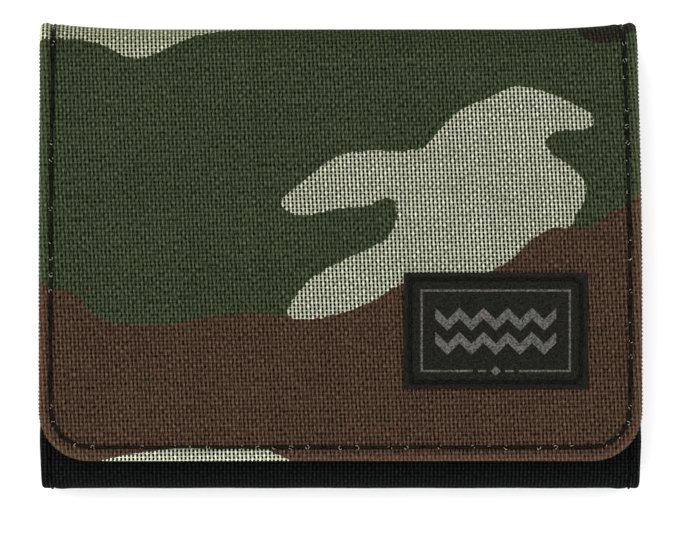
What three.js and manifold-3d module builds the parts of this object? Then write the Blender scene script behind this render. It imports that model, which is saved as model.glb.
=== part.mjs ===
// A trifold fabric wallet with a hook-and-loop closure, lying closed on its back.
// Units are millimetres. +X runs along the folds, +Y points at the top fold and +Z points out of the
// front flap. The origin is at the middle of the face that the wallet lies on.
//
// Three panels are stacked: the back panel, the inner panel that folds up over it from the bottom
// fold, and the flap that folds down over both from the top fold. At each fold a narrow spine joins
// two panels. The sewn sheets are plain plates here, one above the other, with small gaps between.

import * as THREE from "three";
import { mergeVertices } from "three/addons/utils/BufferGeometryUtils.js";
import Module from "manifold-3d";

const wasm = await Module();
wasm.setup();

// ---------------------------------------------------------------- driving dimensions
const WIDTH = 120; // along the folds
const HEIGHT = 92; // from the bottom fold to the top fold, closed
const COVER = 0.8; // heavy woven cover cloth
const LINING = 0.4; // light woven lining
const FOLD_RADIUS = 5; // outside radius of the cover at each fold
const SHEET_GAP = 0.1; // between sheets that are sewn flat together
const BEND_GAP = 0.3; // between the cover's parts on two bodies

const FLAP_TOP = 17.5; // outer face of the flap
const INNER_TOP = 11.9; // outer face of the inner panel
const FLAP_EDGE_Y = -40.4; // the flap's free edge
const FLAP_CORNER = 10; // radius of its two free corners
const INNER_TIP_Y = 16; // the inner panel's free edge

const SIDE = WIDTH / 2;
const FOLD_Y = HEIGHT / 2;
const BEND_Y = FOLD_Y - FOLD_RADIUS; // where the flat cover starts to bend
const SHEET_END_Y = FOLD_Y - 3.5; // sheets inside the cover stop short of the folds
const INTERLINING_END_Y = 38; // and the interlining stops before the bend
const INSIDE_SIDE = SIDE - 1; // sheets inside the cover are a little narrower

// Thread lies in a groove of the cover, this far in from the edge.
const STITCH_INSET = 2.2;
const THREAD = 0.45;
const THREAD_RISE = 0.1; // how far it stands out of the groove
const GROOVE_WIDTH = 1.1;
const GROOVE_DEPTH = 0.5;
const THREAD_HEIGHT = 0.3;

// Heights of the sheets, from the table up: [underside, upper side].
const BACK = {
  interlining: [1.0, 1.8],
  billDivider: [2.5, 2.8],
  cardBacking: [3.0, 3.4],
  rearPocket: [3.7, 4.1],
  middlePocket: [4.4, 4.8],
  frontPocket: [5.1, 5.5],
};
const INNER = {
  windowFrame: [6.2, 6.7],
  windowFilm: [6.8, 7.0],
  coinPocketBack: [7.6, 8.0],
  zipTape: [10.6, 11.0],
  loop: [12.0, 12.9],
};
const FLAP = {
  hook: [13.6, 15.2],
  slipPocket: [14.9, 15.2],
  lining: [15.3, 15.7],
  interlining: [15.8, 16.5],
};

// The coin pocket's zip lies across the inner panel's outer face.
const ZIP_Y = 6;
const ZIP_OPENING = 7.6; // between the two edges of cover cloth
const ZIP_HALF_LENGTH = 42.3;
const TOOTH_PITCH = 1.6;
const TOOTH_WIDTH = 0.5;
const TOOTH_REACH = 0.4; // how far a tooth passes the middle line
const COIL = [11.1, 12.2];
const SLIDER_X = 38;
const SLIDER_LENGTH = 9;
const PULL_AXIS_Z = 13.6;
const PULL_LENGTH = 24;

const LABEL = { x: 30.8, y: -14.4, width: 36.6, height: 23.2, thickness: 0.4 };

// ---------------------------------------------------------------- materials
const cloth = (color) => new THREE.MeshStandardMaterial({ color, roughness: 0.9, metalness: 0 });
const MATERIALS = {
  cover: cloth(0x38412d),
  blackCover: cloth(0x141616),
  lining: cloth(0x1b1c1d),
  interlining: cloth(0xc9c6bd),
  tape: cloth(0x161616),
  thread: cloth(0x0d0d0d),
  hookAndLoop: cloth(0x111111),
  label: cloth(0x1c1c1b),
  film: new THREE.MeshStandardMaterial({ color: 0xdfe6ea, roughness: 0.15, transparent: true, opacity: 0.35 }),
  coil: new THREE.MeshStandardMaterial({ color: 0x151515, roughness: 0.5 }),
  metal: new THREE.MeshStandardMaterial({ color: 0x4a4a4c, roughness: 0.35, metalness: 0.9 }),
};

// ---------------------------------------------------------------- shapes
// A rectangle in X and Y whose two lower and two upper corners have their own radius.
function panelShape([x0, x1], [y0, y1], lowerRadius = 0, upperRadius = 0) {
  const shape = new THREE.Shape();
  shape.moveTo(x0 + lowerRadius, y0);
  shape.lineTo(x1 - lowerRadius, y0);
  if (lowerRadius) shape.absarc(x1 - lowerRadius, y0 + lowerRadius, lowerRadius, -Math.PI / 2, 0);
  shape.lineTo(x1, y1 - upperRadius);
  if (upperRadius) shape.absarc(x1 - upperRadius, y1 - upperRadius, upperRadius, 0, Math.PI / 2);
  shape.lineTo(x0 + upperRadius, y1);
  if (upperRadius) shape.absarc(x0 + upperRadius, y1 - upperRadius, upperRadius, Math.PI / 2, Math.PI);
  shape.lineTo(x0, y0 + lowerRadius);
  if (lowerRadius) shape.absarc(x0 + lowerRadius, y0 + lowerRadius, lowerRadius, Math.PI, 1.5 * Math.PI);
  return shape;
}

const upright = (shape, depth) =>
  new THREE.ExtrudeGeometry(shape, { depth, bevelEnabled: false, curveSegments: 8 });

// Turns a shape drawn in Y and Z, and extruded by depth, so that it runs along X about x = 0.
function alongX(shape, depth) {
  const turned = new THREE.Matrix4().makeBasis(
    new THREE.Vector3(0, 1, 0),
    new THREE.Vector3(0, 0, 1),
    new THREE.Vector3(1, 0, 0),
  );
  return upright(shape, depth).translate(0, 0, -depth / 2).applyMatrix4(turned);
}

// ---------------------------------------------------------------- solids
function solid(geometry) {
  const bare = geometry.index ? geometry.toNonIndexed() : geometry.clone();
  bare.deleteAttribute("normal");
  bare.deleteAttribute("uv");
  const merged = mergeVertices(bare, 1e-4);
  return new wasm.Manifold(
    new wasm.Mesh({
      numProp: 3,
      vertProperties: merged.attributes.position.array,
      triVerts: new Uint32Array(merged.index.array),
    }),
  );
}

function geometryOf(manifold) {
  const mesh = manifold.getMesh();
  return new THREE.BufferGeometry()
    .setAttribute("position", new THREE.BufferAttribute(mesh.vertProperties, 3))
    .setIndex(new THREE.BufferAttribute(mesh.triVerts, 1))
    .toNonIndexed();
}

const wallet = new THREE.Group();

function add(name, geometry, material, height = 0) {
  geometry.computeVertexNormals();
  const mesh = new THREE.Mesh(geometry, material);
  mesh.name = name;
  mesh.position.z = height;
  wallet.add(mesh);
  return mesh;
}

// A flat sheet of one outline, between two heights.
function addSheet(name, shape, [low, high], material) {
  return add(name, upright(shape, high - low), material, low);
}

// ---------------------------------------------------------------- cover cloth
// The cover's section at a fold, in Y and Z: an arc about the fold's own centre, from one angle to
// another, whose outer end can run on as a flat stretch. side is 1 at the top fold and -1 at the
// bottom one.
function bendPoints(side, centreZ, radius, fromAngle, toAngle) {
  const steps = 6;
  return Array.from({ length: steps + 1 }, (_, i) => {
    const angle = fromAngle + ((toAngle - fromAngle) * i) / steps;
    return new THREE.Vector2(side * (BEND_Y + radius * Math.cos(angle)), centreZ + radius * Math.sin(angle));
  });
}

// Closes a band of cover cloth from the points along its outer and its inner face.
function band(outer, inner) {
  const points = [...outer, ...inner.reverse()];
  if (THREE.ShapeUtils.isClockWise(points)) points.reverse();
  return new THREE.Shape(points);
}

const QUARTER = Math.PI / 2;
const MIDDLE = Math.PI / 4; // the cover is divided between two bodies halfway round each bend
const PART = BEND_GAP / 2 / FOLD_RADIUS; // half the gap there, as an angle

// The half bend that ends a flat panel: under the wallet it turns up, above it it turns down.
function panelEnd(side, faceZ, up) {
  const sign = up ? 1 : -1;
  const centreZ = faceZ + sign * FOLD_RADIUS;
  const arc = (radius) => bendPoints(side, centreZ, radius, -sign * QUARTER, -sign * (MIDDLE + PART));
  return { outer: arc(FOLD_RADIUS), inner: arc(FOLD_RADIUS - COVER) };
}

// A spine: half a bend, an upright stretch and half a bend.
function spineSection(side, topZ) {
  const arcs = (radius) => [
    ...bendPoints(side, FOLD_RADIUS, radius, -MIDDLE + PART, 0),
    ...bendPoints(side, topZ - FOLD_RADIUS, radius, 0, MIDDLE - PART),
  ];
  return band(arcs(FOLD_RADIUS), arcs(FOLD_RADIUS - COVER));
}

const threadBand = (x, y, width) => panelShape([x - width / 2, x + width / 2], y);

// A line of thread that runs down one side, round the flap's free edge and up the other side.
function threadRound(width) {
  const outer = STITCH_INSET - width / 2;
  const inner = STITCH_INSET + width / 2;
  const line = (inset, reverse) => {
    const radius = FLAP_CORNER - inset;
    const [x, y] = [SIDE - FLAP_CORNER, FLAP_EDGE_Y + FLAP_CORNER];
    const corner = (centreX, from) =>
      Array.from({ length: 9 }, (_, i) => {
        const angle = from + (QUARTER * i) / 8;
        return new THREE.Vector2(centreX + radius * Math.cos(angle), y + radius * Math.sin(angle));
      });
    const points = [
      new THREE.Vector2(-SIDE + inset, BEND_Y),
      ...corner(-x, Math.PI),
      ...corner(x, 1.5 * Math.PI),
      new THREE.Vector2(SIDE - inset, BEND_Y),
    ];
    return reverse ? points.reverse() : points;
  };
  return new THREE.Shape([...line(outer, false), ...line(inner, true)]);
}

// ---------------------------------------------------------------- back panel
function backPanel() {
  const bottom = panelEnd(-1, 0, true);
  const top = panelEnd(1, 0, true);
  const section = band([...bottom.outer.reverse(), ...top.outer], [...bottom.inner.reverse(), ...top.inner]);
  const stitchX = SIDE - STITCH_INSET;
  let cover = solid(alongX(section, WIDTH));
  for (const x of [-stitchX, stitchX]) {
    const groove = upright(threadBand(x, [-BEND_Y, BEND_Y], GROOVE_WIDTH), 2 * GROOVE_DEPTH);
    cover = cover.subtract(solid(groove.translate(0, 0, -GROOVE_DEPTH)));
  }
  add("back_cover", geometryOf(cover), MATERIALS.cover);
  const thread = { left: -stitchX, right: stitchX };
  for (const [name, x] of Object.entries(thread)) {
    const shape = threadBand(x, [-BEND_Y + 0.5, BEND_Y - 0.5], THREAD);
    addSheet(`back_stitching_${name}`, shape, [0.05, 0.05 + THREAD_HEIGHT / 2], MATERIALS.thread);
  }

  const inside = [-INSIDE_SIDE, INSIDE_SIDE];
  const whole = [-SHEET_END_Y, SHEET_END_Y];
  const stiffener = panelShape([-SIDE + 4, SIDE - 4], [-INTERLINING_END_Y, INTERLINING_END_Y]);
  addSheet("back_interlining", stiffener, BACK.interlining, MATERIALS.interlining);
  addSheet("bill_divider", panelShape(inside, whole), BACK.billDivider, MATERIALS.lining);
  addSheet("card_backing", panelShape(inside, whole), BACK.cardBacking, MATERIALS.lining);
  const pockets = { rear: 34, middle: 22, front: 10 }; // the height of each pocket's mouth
  for (const [name, mouth] of Object.entries(pockets)) {
    const shape = panelShape(inside, [-SHEET_END_Y, mouth]);
    addSheet(`card_pocket_${name}`, shape, BACK[`${name}Pocket`], MATERIALS.lining);
  }
}

// ---------------------------------------------------------------- spines
function spine(name, side, topZ, material) {
  add(`${name}_cover`, alongX(spineSection(side, topZ), WIDTH), material);
  const outerFace = side * (FOLD_Y - COVER - 0.4);
  const innerFace = outerFace - side * LINING;
  const ends = [Math.min(outerFace, innerFace), Math.max(outerFace, innerFace)];
  const shape = panelShape(ends, [3.8, topZ - 3.8]);
  add(`${name}_lining`, alongX(shape, 2 * INSIDE_SIDE), MATERIALS.lining);
}

// ---------------------------------------------------------------- flap
function flap() {
  const end = panelEnd(1, FLAP_TOP, false);
  const [edge, far] = [FLAP_EDGE_Y, FLAP_TOP - COVER];
  const section = band(
    [new THREE.Vector2(edge, FLAP_TOP), ...end.outer],
    [new THREE.Vector2(edge, far), ...end.inner],
  );
  const plan = panelShape([-SIDE, SIDE], [edge, FOLD_Y + 1], FLAP_CORNER);
  const groove = upright(threadRound(GROOVE_WIDTH), 2 * GROOVE_DEPTH).translate(0, 0, FLAP_TOP - GROOVE_DEPTH);
  const cover = solid(alongX(section, WIDTH)).intersect(solid(upright(plan, FLAP_TOP + 1))).subtract(solid(groove));
  add("flap_cover", geometryOf(cover), MATERIALS.cover);

  const threadTop = FLAP_TOP + THREAD_RISE;
  addSheet("flap_stitching", threadRound(THREAD), [threadTop - THREAD_HEIGHT, threadTop], MATERIALS.thread);

  const sheet = (inset, farEdge) =>
    panelShape([-SIDE + inset, SIDE - inset], [edge + inset, farEdge], FLAP_CORNER - inset);
  addSheet("flap_interlining", sheet(3, INTERLINING_END_Y), FLAP.interlining, MATERIALS.interlining);
  addSheet("flap_lining", sheet(1, SHEET_END_Y), FLAP.lining, MATERIALS.lining);
  addSheet("flap_slip_pocket", panelShape([-56, 56], [-16, 36]), FLAP.slipPocket, MATERIALS.lining);
  addSheet("hook_strip", panelShape([-50, 50], [-36.5, -18.5]), FLAP.hook, MATERIALS.hookAndLoop);
}

function label() {
  const { x, y, width, height, thickness } = LABEL;
  const outline = (inset) =>
    panelShape(
      [x - width / 2 + inset, x + width / 2 - inset],
      [y - height / 2 + inset, y + height / 2 - inset],
    );
  const base = FLAP_TOP + SHEET_GAP;
  addSheet("label", outline(0), [base, base + thickness], MATERIALS.label);
  const seam = outline(1.4);
  seam.holes.push(outline(1.4 + THREAD));
  const seamBase = base + thickness + SHEET_GAP;
  addSheet("label_stitching", seam, [seamBase, seamBase + 0.2], MATERIALS.thread);
}

// ---------------------------------------------------------------- inner panel
function innerPanel() {
  const end = panelEnd(-1, INNER_TOP, false);
  const [face, far] = [INNER_TOP, INNER_TOP - COVER];
  const lowerEdge = ZIP_Y - ZIP_OPENING / 2;
  const section = band(
    [new THREE.Vector2(lowerEdge, face), ...end.outer],
    [new THREE.Vector2(lowerEdge, far), ...end.inner],
  );
  add("inner_cover_lower", alongX(section, WIDTH), MATERIALS.blackCover);
  const upper = panelShape([-SIDE, SIDE], [ZIP_Y + ZIP_OPENING / 2, INNER_TIP_Y]);
  addSheet("inner_cover_upper", upper, [far, face], MATERIALS.blackCover);

  const pocketBack = panelShape([-INSIDE_SIDE, INSIDE_SIDE], [-SHEET_END_Y, INNER_TIP_Y]);
  addSheet("coin_pocket_back", pocketBack, INNER.coinPocketBack, MATERIALS.lining);
  const frame = panelShape([-54, 54], [-SHEET_END_Y, INNER_TIP_Y - 2]);
  frame.holes.push(panelShape([-40, 40], [-37, 8], 3, 3));
  addSheet("id_window_frame", frame, INNER.windowFrame, MATERIALS.lining);
  addSheet("id_window_film", panelShape([-45, 45], [-41, 12]), INNER.windowFilm, MATERIALS.film);
  addSheet("loop_strip", panelShape([-50, 50], [-38.5, -14.5]), INNER.loop, MATERIALS.hookAndLoop);
}

// ---------------------------------------------------------------- zip
// One side of the zip: a straight edge with a row of teeth that reach between the other side's.
function teethShape(side) {
  const points = [new THREE.Vector2(-ZIP_HALF_LENGTH, side * 1.7), new THREE.Vector2(-ZIP_HALF_LENGTH, side * 0.7)];
  const first = -ZIP_HALF_LENGTH + TOOTH_PITCH / 2 + (side > 0 ? TOOTH_PITCH / 2 : 0);
  for (let x = first; x + TOOTH_WIDTH < ZIP_HALF_LENGTH; x += TOOTH_PITCH) {
    points.push(
      new THREE.Vector2(x, side * 0.7),
      new THREE.Vector2(x, -side * TOOTH_REACH),
      new THREE.Vector2(x + TOOTH_WIDTH, -side * TOOTH_REACH),
      new THREE.Vector2(x + TOOTH_WIDTH, side * 0.7),
    );
  }
  points.push(new THREE.Vector2(ZIP_HALF_LENGTH, side * 0.7), new THREE.Vector2(ZIP_HALF_LENGTH, side * 1.7));
  if (THREE.ShapeUtils.isClockWise(points)) points.reverse();
  return new THREE.Shape(points);
}

function slider() {
  const [plateLow, plateHigh] = [12.5, 13.0];
  const [wall, half] = [2.0, 2.7]; // the channel's half width inside and outside
  const channel = new THREE.Shape(
    [
      [-half, 11.2], [-wall, 11.2], [-wall, plateLow], [wall, plateLow],
      [wall, 11.2], [half, 11.2], [half, plateHigh], [-half, plateHigh],
    ].map(([y, z]) => new THREE.Vector2(y, z)),
  );
  // The bail is an arch over the pull's end bar.
  const [reach, leg, top] = [3, 0.5, 14.6];
  const bail = new THREE.Shape(
    [
      [-reach, plateLow + 0.2], [-reach + leg, plateLow + 0.2], [-reach + leg, top - 0.4], [reach - leg, top - 0.4],
      [reach - leg, plateLow + 0.2], [reach, plateLow + 0.2], [reach, top], [-reach, top],
    ].map(([x, z]) => new THREE.Vector2(x, z)),
  );
  const bailWidth = 2;
  const arch = upright(bail, bailWidth).rotateX(QUARTER).translate(0, bailWidth / 2, 0);
  const body = solid(alongX(channel, SLIDER_LENGTH)).add(solid(arch));
  add("zip_slider", geometryOf(body).translate(SLIDER_X, ZIP_Y, 0), MATERIALS.metal);
}

function pull() {
  const [half, barHalf, thickness] = [2.4, 0.3, 0.6];
  const plate = panelShape([-PULL_LENGTH, barHalf], [-half, half], 1, 0.2);
  plate.holes.push(panelShape([-4.2, -barHalf], [-1.3, 1.3]));
  const low = PULL_AXIS_Z - thickness / 2;
  const tab = addSheet("zip_pull", plate, [low, low + thickness], MATERIALS.metal);
  tab.position.x = SLIDER_X;
  tab.position.y = ZIP_Y;
}

function zip() {
  for (const [name, side] of Object.entries({ lower: -1, upper: 1 })) {
    const edges = [ZIP_Y + side * 0.6, ZIP_Y + side * 8].sort((a, b) => a - b);
    addSheet(`zip_tape_${name}`, panelShape([-50, 50], edges), INNER.zipTape, MATERIALS.tape);
    const teeth = addSheet(`zip_teeth_${name}`, teethShape(side), COIL, MATERIALS.coil);
    teeth.position.y = ZIP_Y;
    const stop = [ZIP_Y + side * 0.3, ZIP_Y + side * 2.1].sort((a, b) => a - b);
    addSheet(`zip_top_stop_${name}`, panelShape([42.8, 44.6], stop), [11.1, 12.3], MATERIALS.metal);
  }
  const bottomStop = panelShape([-44.8, -42.8], [ZIP_Y - 2.1, ZIP_Y + 2.1]);
  addSheet("zip_bottom_stop", bottomStop, [11.1, 12.3], MATERIALS.metal);
  slider();
  pull();
}

// ---------------------------------------------------------------- small sewn threads
function insideStitching() {
  const around = (x, [y0, y1], inset) => {
    const shape = panelShape([-x + inset, x - inset], [y0 + inset, y1 - inset]);
    shape.holes.push(panelShape([-x + inset + THREAD, x - inset - THREAD], [y0 + inset + THREAD, y1 - inset - THREAD]));
    return shape;
  };
  const above = (z) => [z + SHEET_GAP, z + SHEET_GAP + 0.15];
  addSheet("loop_strip_stitching", around(50, [-38.5, -14.5], 1.2), above(INNER.loop[1]), MATERIALS.thread);
  const below = [FLAP.hook[0] - SHEET_GAP - 0.12, FLAP.hook[0] - SHEET_GAP];
  addSheet("hook_strip_stitching", around(50, [-36.5, -18.5], 1.2), below, MATERIALS.thread);
  for (const [name, x] of Object.entries({ left: -SIDE + 1.8, right: SIDE - 1.8 })) {
    const shape = threadBand(x, [-BEND_Y, INNER_TIP_Y - 1], THREAD);
    addSheet(`inner_stitching_${name}`, shape, above(INNER_TOP), MATERIALS.thread);
  }
  for (const [name, y] of Object.entries({ lower: ZIP_Y - 5.2, upper: ZIP_Y + 5.2 })) {
    const shape = panelShape([-57, 57], [y - THREAD / 2, y + THREAD / 2]);
    addSheet(`zip_stitching_${name}`, shape, above(INNER_TOP), MATERIALS.thread);
  }
}

backPanel();
spine("top_spine", 1, FLAP_TOP, MATERIALS.cover);
spine("bottom_spine", -1, INNER_TOP, MATERIALS.blackCover);
flap();
label();
innerPanel();
zip();
insideStitching();

export default wallet;
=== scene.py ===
import math
from types import SimpleNamespace

import bmesh
import bpy
import numpy as np
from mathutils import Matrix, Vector


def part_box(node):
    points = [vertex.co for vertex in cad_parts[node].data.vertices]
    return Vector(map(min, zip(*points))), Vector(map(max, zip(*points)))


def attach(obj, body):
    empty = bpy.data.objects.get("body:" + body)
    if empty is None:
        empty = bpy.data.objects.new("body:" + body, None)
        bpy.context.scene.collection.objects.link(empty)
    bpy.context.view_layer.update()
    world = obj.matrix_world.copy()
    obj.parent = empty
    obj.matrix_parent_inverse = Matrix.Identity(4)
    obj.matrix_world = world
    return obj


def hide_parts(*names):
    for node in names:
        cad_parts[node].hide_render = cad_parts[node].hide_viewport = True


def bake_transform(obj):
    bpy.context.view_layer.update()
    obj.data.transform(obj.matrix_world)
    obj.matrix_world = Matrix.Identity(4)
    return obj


# A closed trifold wallet of printed bag cloth, dressed over its CAD frame.
# Lengths are in millimetres until a mesh is made. Every sewn sheet is first drawn flat, as (x, s): x runs
# along the folds and s along the cloth. A Wrap or a Plane then lays it in the frame.

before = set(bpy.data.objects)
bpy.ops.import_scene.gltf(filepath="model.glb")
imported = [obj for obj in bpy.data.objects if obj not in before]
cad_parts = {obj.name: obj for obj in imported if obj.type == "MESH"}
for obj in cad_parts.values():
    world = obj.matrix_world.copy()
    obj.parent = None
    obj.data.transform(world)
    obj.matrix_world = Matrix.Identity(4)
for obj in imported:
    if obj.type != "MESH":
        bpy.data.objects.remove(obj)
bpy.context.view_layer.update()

# ---- sizes
MM = 0.001


def spans(node):
    """The two ends of a CAD node along X, Y and Z, in millimetres."""
    return np.array(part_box(node)).T / MM


SIDE = spans("flap_cover")[0][1]
FLAP_EDGE_Y = spans("flap_cover")[1][0]
FLAP_TOP = spans("flap_cover")[2][1]
FOLD_Y = spans("top_spine_cover")[1][1]
INNER_TOP = spans("inner_cover_lower")[2][1]
ZIP_Y = float(spans("zip_slider")[1].mean())
FOLD_RADIUS = 5.0
BEND_Y = FOLD_Y - FOLD_RADIUS
FLAP_CORNER = 10.0
SEAM_INSET = 2.35
STITCH = 3.3
FINE_STITCH = 2.8
THREAD = 0.5
COVER_WEAVE = (0.80, 0.755)  # the spacing of the cover cloth's warp and weft
WARP_LEAN = 0.055  # the cloth was sewn in with its threads a little askew
WEFT_LEAN = 0.015
WAVER = 0.3  # how far threads wander, as a share of their spacing
COVER = 0.8
PANEL = 1.7  # cover and padding together
SPINE = 1.0  # the cover alone, with its turnings
LINING = 0.4
BACK_DROP = -0.24  # the back's cloth lies this much nearer the panels than round the folds
JOIN_Y = -37.8  # where the printed cover meets the black one, under the back panel
SEAM_DRIFT = 0.4  # how much further in the seam lies at the fold and along the flap's edge
SEAM_SHADE = 0.38  # how far a seam's shade reaches
FROM_SPINE = (1, 1, 0, 1)  # the soft edges of a sheet that starts at the middle of a spine
RANDOM = np.random.default_rng(7)


# ---- ways of laying cloth
class Way:
    """A way of laying flat cloth. Its reach says where on the cloth a panel's y lies."""

    def stretch(self, y_ends):
        """The stretch of cloth that lies on a panel's stretch of y."""
        return sorted(self.reach(y) for y in y_ends)

    def together(self, *values):
        """Numbers and arrays as arrays of one shape."""
        return np.broadcast_arrays(*(np.asarray(value, float) for value in values))


class Wrap(Way):
    """The way that cloth takes from the middle of a spine, round its bend and along a panel.

    side is 1 at the top fold and -1 at the bottom one. up is 1 where the cloth goes over the stack of
    panels and -1 where it goes under. height is the spine's.
    """

    def __init__(self, side, up, height):
        self.side = side
        self.up = up
        self.out = np.array([side, 0.0])
        self.rise = np.array([0.0, up])
        self.straight = height / 2 - FOLD_RADIUS
        self.run = self.straight + FOLD_RADIUS * math.pi / 2
        self.centre = np.array([side * BEND_Y, height / 2 + up * self.straight])

    def reach(self, y):
        """How far along the cloth a panel's point y lies."""
        return self.run + abs(self.centre[0] - y)

    def swell(self, x, s):
        """How far the cloth stands out: thick folded corners at the top fold, and slight waves."""
        under_fade = np.clip(1 - (s / self.run) ** 2, 0, 1)
        if self.side < 0:
            bulge = 0.55 * np.exp(-(((s - self.run * 0.4) / 5) ** 2)) * (1 + 0.05 * np.sin(x / 3.1))
            if self.up < 0:
                return bulge * under_fade
            return bulge + 0.06 * np.sin(x / 13) * np.clip(s / 20, 0, 1)
        corner_width = 24
        ends = np.clip((np.abs(x) - SIDE + corner_width) / corner_width, 0, 1) ** 2
        ears = 1.3 * ends * np.exp(-(np.maximum(s - self.run * 0.6, 0) / 6.5) ** 2)
        if self.up < 0:
            return ears * under_fade
        away = 1 - np.exp(-((s / 14) ** 2))
        waves = 0.12 * np.sin(x / 15 + 1.1) * np.sin(s / 19) + 0.06 * np.sin(x / 8 - s / 12)
        dome = 0.3 * (1 - (x / SIDE) ** 2) * np.sin(np.clip(s / 93, 0, 1) * math.pi)
        return ears + away * (waves + dome)

    def taper(self, x, s):
        """The top fold is pulled in a little, more at its right end."""
        if self.side < 0:
            return x * (1.006 - 0.006 * np.exp(-((s / 3) ** 2)))
        pull = np.clip(1 - s / 62, 0, 1) ** 2
        return x * (1.0035 - np.where(x > 0, 0.025, 0.006) * pull)

    def place(self, x, s, lift):
        x, s, lift = self.together(x, s, lift)
        angle = np.clip((s - self.straight) / FOLD_RADIUS, 0, math.pi / 2)
        normal = np.cos(angle)[..., None] * self.out + np.sin(angle)[..., None] * self.rise
        before = np.minimum(s - self.straight, 0)[..., None] * self.rise
        beyond = np.maximum(s - self.run, 0)[..., None] * self.out
        radius = FOLD_RADIUS + lift + self.swell(x, s)
        across = self.centre + before - beyond + normal * radius[..., None]
        return np.stack([self.taper(x, s), across[..., 0], across[..., 1]], -1)


class Plane(Way):
    """A flat way: s is y itself, and lift is measured up from a height, or down from it."""

    def __init__(self, height, up=1):
        self.height = height
        self.up = up

    def reach(self, y):
        return y

    def place(self, x, s, lift):
        x, s, lift = self.together(x, s, lift)
        return np.stack([x, s, self.height + self.up * lift], -1)


OVER_TOP = Wrap(1, 1, FLAP_TOP)
UNDER_TOP = Wrap(1, -1, FLAP_TOP)
OVER_BOTTOM = Wrap(-1, 1, INNER_TOP)
UNDER_BOTTOM = Wrap(-1, -1, INNER_TOP)


# ---- meshes
def make_mesh(name, points, faces, material, fabric=None, floats=None, closed=True):
    """An object from points in millimetres. fabric is each point's place on the flat cloth."""
    mesh = bpy.data.meshes.new(name)
    mesh.from_pydata((points * MM).tolist(), [], faces)
    mesh.validate()
    if fabric is not None:
        attribute = mesh.attributes.new("fabric", "FLOAT_VECTOR", "POINT")
        fabric = np.column_stack([fabric, np.zeros(len(fabric))])
        attribute.data.foreach_set("vector", fabric.astype(np.float32).ravel())
    for key, values in (floats or {}).items():
        attribute = mesh.attributes.new(key, "FLOAT", "POINT")
        attribute.data.foreach_set("value", np.asarray(values, np.float32).ravel())
    mesh.materials.append(material)
    piece = put_in_scene(name, mesh)
    if closed:
        mesh.shade_smooth()
        turn_outward(piece)
    return piece


def put_in_scene(name, data):
    """A new object of a mesh, a curve, a camera or a light."""
    piece = bpy.data.objects.new(name, data)
    bpy.context.scene.collection.objects.link(piece)
    return piece


def turn_outward(piece, weld_gap=0.0):
    """Turns every face out of the closed mesh, after joining points no further apart than weld_gap."""
    work = bmesh.new()
    work.from_mesh(piece.data)
    if weld_gap:
        bmesh.ops.remove_doubles(work, verts=work.verts, dist=weld_gap)
    bmesh.ops.recalc_face_normals(work, faces=work.faces)
    work.to_mesh(piece.data)
    work.free()


def grid_faces(index, closed=False):
    """Quads between the neighbours of a grid of point numbers. closed joins its last row to its first."""
    if closed:
        index = np.vstack([index, index[:1]])
    corners = [index[:-1, :-1], index[1:, :-1], index[1:, 1:], index[:-1, 1:]]
    return np.stack([corner.ravel() for corner in corners], -1)


def two_faced(name, top, bottom, shared, fabric, material, floats=None, open_sides=(), closed=False):
    """A closed mesh from the grids of points of a sheet's two faces.

    The faces have one point between them where shared is true, and are joined along open_sides.
    """
    count = shared.size
    first = np.arange(count).reshape(shared.shape)
    second = np.where(shared, first, first + count)
    faces = [grid_faces(first, closed), grid_faces(second, closed)[:, ::-1]]
    faces += [grid_faces(np.stack([first[side], second[side]])) for side in open_sides]
    used = np.unique([first, second])
    renumber = np.zeros(2 * count, int)
    renumber[used] = np.arange(len(used))
    corner_lists = [list(dict.fromkeys(face)) for face in renumber[np.concatenate(faces)].tolist()]
    kept = [corners for corners in corner_lists if len(corners) > 2]
    points = np.concatenate([top.reshape(-1, 3), bottom.reshape(-1, 3)])[used]
    floats = {key: np.tile(values.ravel(), 2)[used] for key, values in (floats or {}).items()}
    return make_mesh(name, points, kept, material, np.tile(fabric, (2, 1))[used], floats)


RIM_STEPS = np.array([0, 0.04, 0.16, 0.36, 0.66, 1.0])
SEAM_STEPS = np.array([1.25, 1.6, 1.9, 2.2, 2.5, 2.8, 3.2])


def grid_lines(ends, soft, rim, spacing, seam):
    """Where a sheet's grid lines lie: close together along a soft edge, and evenly between."""
    low, high = ends
    near = rim * RIM_STEPS
    if seam:
        near = np.concatenate([near, SEAM_STEPS])
    first = low + near if soft[0] else np.array([low])
    last = high - near[::-1] if soft[1] else np.array([high])
    start = math.ceil(first[-1] / spacing + 0.3)
    stop = math.floor(last[0] / spacing - 0.3)
    return np.concatenate([first, np.arange(start, stop + 1) * spacing, last])


def round_corner(x, s, centre, toward):
    """Turns the square corner of a grid into a quarter of a disc, ring by ring."""
    along_x = (x - centre[0]) * toward[0]
    along_s = (s - centre[1]) * toward[1]
    inside = (along_x > 0) & (along_s > 0)
    ring = np.maximum(along_x, along_s)
    angle = math.pi / 4 * np.minimum(along_x, along_s) / np.maximum(ring, 1e-9)
    from_x = along_x >= along_s
    new_x = centre[0] + toward[0] * ring * np.where(from_x, np.cos(angle), np.sin(angle))
    new_s = centre[1] + toward[1] * ring * np.where(from_x, np.sin(angle), np.cos(angle))
    return np.where(inside, new_x, x), np.where(inside, new_s, s)


def as_function(value):
    """A function of s as it is, and a number as one."""
    return value if callable(value) else lambda s: np.full_like(s, value)


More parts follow.
